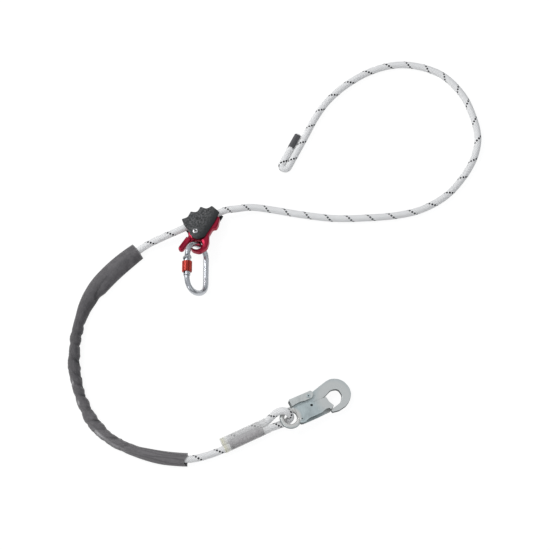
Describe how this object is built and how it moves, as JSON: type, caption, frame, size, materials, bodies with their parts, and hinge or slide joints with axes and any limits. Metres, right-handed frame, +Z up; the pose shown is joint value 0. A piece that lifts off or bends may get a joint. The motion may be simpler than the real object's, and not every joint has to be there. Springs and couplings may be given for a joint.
{
  "type": "adjustable tree climbing lanyard",
  "caption": "White work positioning rope with a sewn snap hook, a dark protective sleeve, a camming rope adjuster, a screw gate carabiner and a stitched stop, lying loosely on the ground.",
  "frame": {"origin": "on the ground, under the middle of the box round the metal parts", "axes": "+Z up, +Y away from the viewer along the lanyard's longer side, +X to the right"},
  "size_m": [0.745, 0.7769, 0.0513],
  "materials": {
    "rope_white": "soft white kernmantle sheath with a dark tracer",
    "clear_shrink": "clear heat shrink tube, slightly hazy",
    "label_film": "plain film, left bare",
    "dark_thread": "dark bonded thread",
    "dark_fabric": "dark grey woven tubular fabric with a slight sheen",
    "black_anodised": "black anodised plate with worn edges",
    "red_anodised": "crimson anodised, satin",
    "red_sleeve": "orange red anodised, ribbed",
    "polished_alloy": "polished bright alloy",
    "bright_steel": "bright turned steel",
    "spring_steel": "drawn spring wire",
    "zinc_plate": "zinc plated, satin bluish grey"
  },
  "bodies": {
    "lanyard": {"rope_main": "rope_white", "rope_hook_eye": "rope_white", "rope_stop_end": "rope_white", "eye_label_sleeve": "clear_shrink", "eye_label_band": "label_film", "eye_stitching": "dark_thread", "stop_stitching": "dark_thread", "protective_sleeve": "dark_fabric"},
    "adjuster": {"adjuster_front_cheek": "black_anodised", "adjuster_rear_cheek": "black_anodised", "adjuster_saddle": "black_anodised", "adjuster_saddle_rivet_left": "black_anodised", "adjuster_saddle_rivet_right": "black_anodised", "adjuster_axle": "bright_steel", "adjuster_axle_nut": "bright_steel", "adjuster_bushing": "bright_steel", "adjuster_cam_spring": "spring_steel"},
    "cam": {"cam_body": "red_anodised", "release_lever": "red_anodised", "release_lever_pin": "bright_steel"},
    "carabiner": {"carabiner_body": "polished_alloy", "carabiner_gate_rivet": "bright_steel"},
    "gate": {"carabiner_gate": "polished_alloy", "carabiner_latch_pin": "bright_steel", "carabiner_gate_plunger": "bright_steel", "carabiner_gate_spring": "spring_steel"},
    "screw_sleeve": {"carabiner_screw_sleeve": "red_sleeve"},
    "hook": {"hook_body": "zinc_plate", "hook_gate_rivet": "zinc_plate", "hook_lock_rivet": "zinc_plate", "hook_gate_spring": "spring_steel", "hook_lock_spring": "spring_steel"},
    "hook_gate": {"hook_gate": "zinc_plate"},
    "hook_lock": {"hook_lock_lever": "zinc_plate"}
  },
  "joints": [
    {"name": "adjuster_slide", "type": "slide", "parent": "lanyard", "child": "adjuster", "axis": [0.9063, 0.4226, 0], "range_m": [-0.008, 0.008]},
    {"name": "cam_turn", "type": "hinge", "parent": "adjuster", "child": "cam", "pos_m": [-0.12042, 0.1539, 0.01984], "axis": [0.0879, -0.1884, -0.9781], "range_deg": [0, 20], "stiffness_Nm_per_rad": 0.05, "springref_deg": -20.05},
    {"name": "carabiner_swing", "type": "hinge", "parent": "cam", "child": "carabiner", "pos_m": [-0.11851, 0.13027, 0.02456], "axis": [-0.0879, 0.1884, 0.9781], "range_deg": [-20, 20]},
    {"name": "carabiner_gate_turn", "type": "hinge", "parent": "carabiner", "child": "gate", "pos_m": [-0.13457, 0.09997, 0.0424], "axis": [0.7431, 0, 0.6691], "range_deg": [0, 28], "stiffness_Nm_per_rad": 0.05, "springref_deg": -17.19},
    {"name": "screw_sleeve_slide", "type": "slide", "parent": "gate", "child": "screw_sleeve", "axis": [0, -1, 0], "range_m": [0, 0.009]},
    {"name": "hook_pitch", "type": "hinge", "parent": "lanyard", "child": "hook", "pos_m": [0.03534, -0.19499, 0.01862], "axis": [0.4305, -0.9026, 0], "range_deg": [0, 6]},
    {"name": "hook_gate_turn", "type": "hinge", "parent": "hook", "child": "hook_gate", "pos_m": [0.06848, -0.19115, 0.01522], "axis": [0.0966, 0.0461, 0.9943], "range_deg": [0, 16], "stiffness_Nm_per_rad": 0.15, "springref_deg": -17.19},
    {"name": "hook_lock_turn", "type": "hinge", "parent": "hook", "child": "hook_lock", "pos_m": [0.07944, -0.14952, 0.01223], "axis": [0.0966, 0.0461, 0.9943], "range_deg": [0, 8], "stiffness_Nm_per_rad": 0.1, "springref_deg": -11.46}
  ]
}
